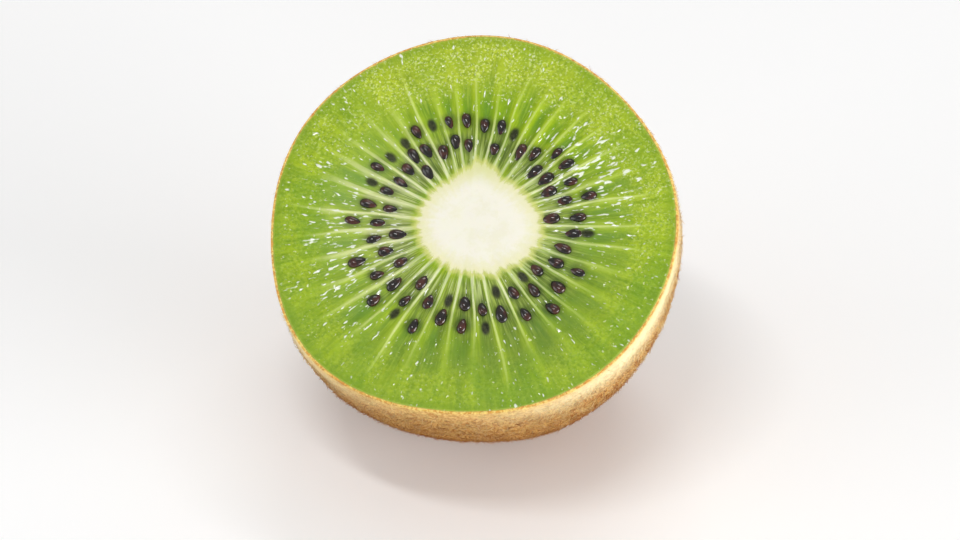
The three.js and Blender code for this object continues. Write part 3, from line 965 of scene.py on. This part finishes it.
def sepal(index):
    """A dry flap, broad at the ring and curling off the skin towards its tip."""
    turn = 2 * math.pi * (index + SEPAL_START + draws.offset(SEPAL_JITTER)) / SEPALS
    size = draws.between(*SEPAL_SIZES)
    along = np.linspace(0.02, 0.98, SEPAL_ROWS)[:, None]
    around = np.linspace(0, 2 * math.pi, SEPAL_SIDES, endpoint=False)
    radius = SCAR_RADIUS - 0.3 + SEPAL_LENGTH * size * along
    half = SEPAL_WIDTH * size / 2 * np.sin(math.pi * along**0.75) ** 0.7
    crinkle = 0.22 * bumps(along * 5 + 10 * index, np.cos(around) * 2 + 20, 41)
    aside = half * np.cos(around) + 0.25 * bumps(along * 3 + 10 * index, 0 * along, 42)
    lift = SEPAL_LIFT + SEPAL_CURL * along**3 + 0.12 * np.cos(around) ** 2 * half
    lift = lift + 0.7 * crinkle * along + SEPAL_THICKNESS / 2 * np.sin(around)
    depth = skin_depth(radius / FACE_RADIUS) + lift
    out = radius + 0.25 * lift
    rings = np.stack([
        out * math.cos(turn) - aside * math.sin(turn),
        out * math.sin(turn) + aside * math.cos(turn),
        -depth,
    ], axis=-1)[:, ::-1]
    return rings, rings[0].mean(axis=0), rings[-1].mean(axis=0), 0.0


sepals = closed_rings("sepals", *[sepal(index) for index in range(SEPALS)])


def dry_finish(name, dark, pale, ring=(0, 0, 0, 1)):
    """Dry brown wood or leaf, with a fine grain, and darker where it is painted as the ring."""
    material, recipe = finish(name)
    grain = recipe.noise(recipe.at_object(), 1400.0, 4.0, 0.7)
    patch = recipe.noise(recipe.at_object(), 380.0, 2.0)
    shade = recipe.mix(recipe.ease(grain, 0.35, 0.7), dark, pale)
    shade = recipe.mix(recipe.ease(patch, 0.5, 0.75) * 0.5, shade, dark)
    surface(recipe, shader(recipe, {
        "Base Color": recipe.mix(recipe.attribute("ring") * 0.85, shade, ring),
        "Roughness": 0.85 - 0.2 * patch,
        "Normal": recipe.bump(grain, 0.15, 0.8),
    }))
    return material


scar_finish = dry_finish(
    "woody_scar", colour(66, 42, 24), colour(156, 108, 60), colour(40, 24, 15))
dress(scar_piece, scar_finish)
sepal_finish = dry_finish("dry_sepals", colour(78, 48, 28), colour(158, 112, 68))
dress(sepals, sepal_finish)

# -----------------------------------------------------------------------------------------------
# Fuzz. Stiff brown hairs that grow out of the skin and lie nearly flat on it, combed into tufts.
# Most are short, with fewer longer and paler ones between. They are rubbed thin along the front.
# -----------------------------------------------------------------------------------------------
HAIR_SIDES = 3
HAIR_ROOT = 0.05  # how deep a hair starts
HAIR_LEAN, HAIR_ROLL, HAIR_TURN = 0.7, 0.3, 0.7  # least share of the lean, and radians each way
HAIR_LENGTHS = (0.5, 1.25)
TUFTS, COMBING = 300.0, 20.0  # steps of turn to a metre, and radians between its extremes

h = shape_tree("fuzz", {"Hairs": "Float", "Seed": "Int", "Length": "Float", "Width": "Float",
                        "Joints": "Int", "Bend": "Float", "Lean": "Float",
                        "Material": "Material"})
roots = h.node("GeometryNodeDistributePointsOnFaces", {"distribute_method": "RANDOM"}, {
    "Mesh": h.given["Geometry"],
    "Density": kept(h, "growth", "FLOAT") * h.given["Hairs"],
    "Seed": h.given["Seed"],
})
strand = h.node("GeometryNodeMeshCone", {"fill_type": "NGON"}, {
    "Vertices": HAIR_SIDES,
    "Side Segments": h.given["Joints"],
    "Fill Segments": 1,
    "Radius Top": 0.0,
    "Radius Bottom": h.given["Width"] * 0.5,
    "Depth": h.given["Length"],
})
where = h.node("GeometryNodeInputPosition")
up_strand = h.axis(where, "Z")
bow = h.given["Bend"] * (up_strand / h.given["Length"]) ** 2.0 * h.given["Length"]
bent = h.node("GeometryNodeSetPosition", None,
              {"Geometry": strand, "Offset": h.vector(X=bow, Z=-HAIR_ROOT * MM)})
tousle = h.node("FunctionNodeRandomValue", {"data_type": "FLOAT_VECTOR"}, {
    "Min": h.vector(X=HAIR_LEAN * h.given["Lean"], Y=-HAIR_ROLL, Z=-HAIR_TURN),
    "Max": h.vector(X=h.given["Lean"], Y=HAIR_ROLL, Z=HAIR_TURN),
    "Seed": 3,
})
combed = h.vector(Z=(h.noise(where, TUFTS, 1.0) - 0.5) * COMBING)
shortest, longest = HAIR_LENGTHS
stand_on_points(h, {
    "Points": roots,
    "Instance": h.node("GeometryNodeSetShadeSmooth", None, {"Geometry": bent}),
    "Rotation": h.node("FunctionNodeRotateRotation", {"rotation_space": "LOCAL"}, {
        "Rotation": roots.also("Rotation"),
        "Rotate By": h.vectors("ADD", tousle, combed),
    }),
    "Scale": h.node("FunctionNodeRandomValue", {"data_type": "FLOAT"},
                    {2: shortest, 3: longest, "Seed": 5}, output=1),
})


def fuzz_finish(name, dull, bright):
    """A dry hair, dull in some tufts and bright in others, and darker round the stem end. Along the
    front of the cut it is painted paler as light, and low on the fruit browner as shade.
    """
    material, recipe = finish(name)
    root = recipe.attribute("place", "Vector")
    tuft = recipe.noise(root, 0.9, 2.0)
    single = recipe.node("ShaderNodeTexWhiteNoise", None, {"Vector": root})
    shade = recipe.mix(recipe.ease(tuft + single * 0.4, 0.56, 0.84), dull, bright)
    # Painted light along the front of the cut, and painted shade low on the fruit.
    shade = recipe.mix(recipe.attribute("painted_light") * 0.9, shade, colour(255, 246, 204))
    shade = recipe.mix(painted_low_shade(recipe) * 0.78, shade, colour(152, 86, 14))
    shade = recipe.mix(recipe.attribute("scar") * 0.85, shade, colour(124, 58, 28))
    surface(recipe, shader(recipe, {
        "Base Color": shade,
        "Roughness": 0.5 + 0.2 * tuft,
        "Specular IOR Level": 0.15,
    }))
    return material


for name, hairs, joints, length, width, bend, lean, dull, bright, seed_number in (
    ("short_fuzz", 10.0, 1, 0.5, 0.08, 0.0, 1.35, colour(154, 82, 28), colour(248, 208, 132), 1),
    ("long_fuzz", 2.6, 2, 0.9, 0.09, 0.3, 1.35, colour(166, 90, 30), colour(255, 236, 180), 2),
):
    hair_finish = fuzz_finish(name, dull, bright)
    hair = grown(name, skin.data, h, {
        "Hairs": hairs / MM**2,
        "Seed": seed_number,
        "Joints": joints,
        "Length": length * MM,
        "Width": width * MM,
        "Bend": bend,
        "Lean": lean,
        "Material": hair_finish,
    })
    dress(hair, hair_finish)

# -----------------------------------------------------------------------------------------------
# Light, floor and camera. The floor is a matt white studio sheet, flat under the fruit and curved
# up at its far edge, so that it has no horizon. Four soft boxes and a pale sky light it. The floor
# also glows, faintly under the fruit, painted light that lifts its shadow, and fully far from it.
# -----------------------------------------------------------------------------------------------
FLOOR_FLAT = 2.2
FLOOR_EDGE = (0.6, 0.1)  # out and up
FLOOR_SIDES = 96
FLOOR_EDGE_ROWS = 7
floor_turns = np.linspace(0, 2 * math.pi, FLOOR_SIDES, endpoint=False)
curl = np.linspace(0, math.pi / 2, FLOOR_EDGE_ROWS)[:, None]
floor_radius = FLOOR_FLAT + FLOOR_EDGE[0] * np.sin(curl)
floor_rise = FLOOR_EDGE[1] * (1 - np.cos(curl))
floor_points = ring_points(floor_radius, floor_turns, floor_rise).reshape(-1, 3).tolist()
floor_mesh = bpy.data.meshes.new("floor")
floor_mesh.from_pydata(
    [(0, 0, 0), *floor_points], [], ring_faces(0, FLOOR_EDGE_ROWS, FLOOR_SIDES))
floor_mesh.shade_smooth()
floor = set_out("floor", floor_mesh)
floor_finish, m = finish("pale_floor")
from_fruit = m.vectors("LENGTH", m.at_object(), output="Value")
surface(m, shader(m, {
    "Base Color": m.mix(m.noise(m.at_object(), 3.0), colour(250, 250, 250), colour(253, 253, 253)),
    "Roughness": 0.6,
    # The floor glows, faintly under the fruit, painted light that lifts its shadow, and fully far
    # off.
    "Emission Color": m.mix(m.ease(from_fruit, 0.12, 0.62), (0.15, 0.15, 0.15, 1), (1, 1, 1, 1)),
    "Emission Strength": 0.6,
}))
floor_mesh.materials.append(floor_finish)

low, high = [Vector(corner) for corner in cad_box]
middle = (low + high) / 2


def aim(thing, azimuth, elevation, distance):
    """Stands a thing off from the fruit, facing it. Azimuth 0 is the front and 90 the right."""
    turn, rise = math.radians(azimuth), math.radians(elevation)
    away = Vector((math.sin(turn) * math.cos(rise), -math.cos(turn) * math.cos(rise),
                   math.sin(rise)))
    thing.location = middle + away * distance
    thing.rotation_mode = "QUATERNION"
    thing.rotation_quaternion = (-away).to_track_quat("-Z", "Y")


def soft_light(name, azimuth, elevation, distance, size, power):
    data = bpy.data.lights.new(name, "AREA")
    data.shape, data.energy = "RECTANGLE", power
    data.size, data.size_y = size
    aim(set_out(name, data), azimuth, elevation, distance)


soft_light("front_strip", -22, 68, 0.7, (0.3, 0.045), 1.05)
soft_light("back_strip", 170, 64, 0.7, (0.4, 0.1), 0.7)
soft_light("right_box", 72, 10, 0.8, (0.6, 0.24), 4.8)
soft_light("left_box", -62, 18, 0.8, (0.6, 0.4), 1.5)

world = bpy.data.worlds.new("studio")
bpy.context.scene.world = world
world.use_nodes = True
sky = world.node_tree.nodes["Background"].inputs
sky["Color"].default_value = (1, 1, 1, 1)
sky["Strength"].default_value = 0.43

CAMERA_AZIMUTH = 12.8
CAMERA_ELEVATION = 38.2
CAMERA_DISTANCE = 1.15
PIXELS_PER_MM = 8.1
IMAGE_WIDTH = 960
SENSOR_WIDTH = 36
camera_data = bpy.data.cameras.new("camera")
camera = set_out("camera", camera_data)
aim(camera, CAMERA_AZIMUTH, CAMERA_ELEVATION, CAMERA_DISTANCE)
camera_data.sensor_width = SENSOR_WIDTH
camera_data.lens = PIXELS_PER_MM * SENSOR_WIDTH / IMAGE_WIDTH * CAMERA_DISTANCE / MM
camera_data.clip_start, camera_data.clip_end = 0.01, 50
bpy.context.scene.camera = camera
bpy.context.scene.view_settings.view_transform = "Standard"
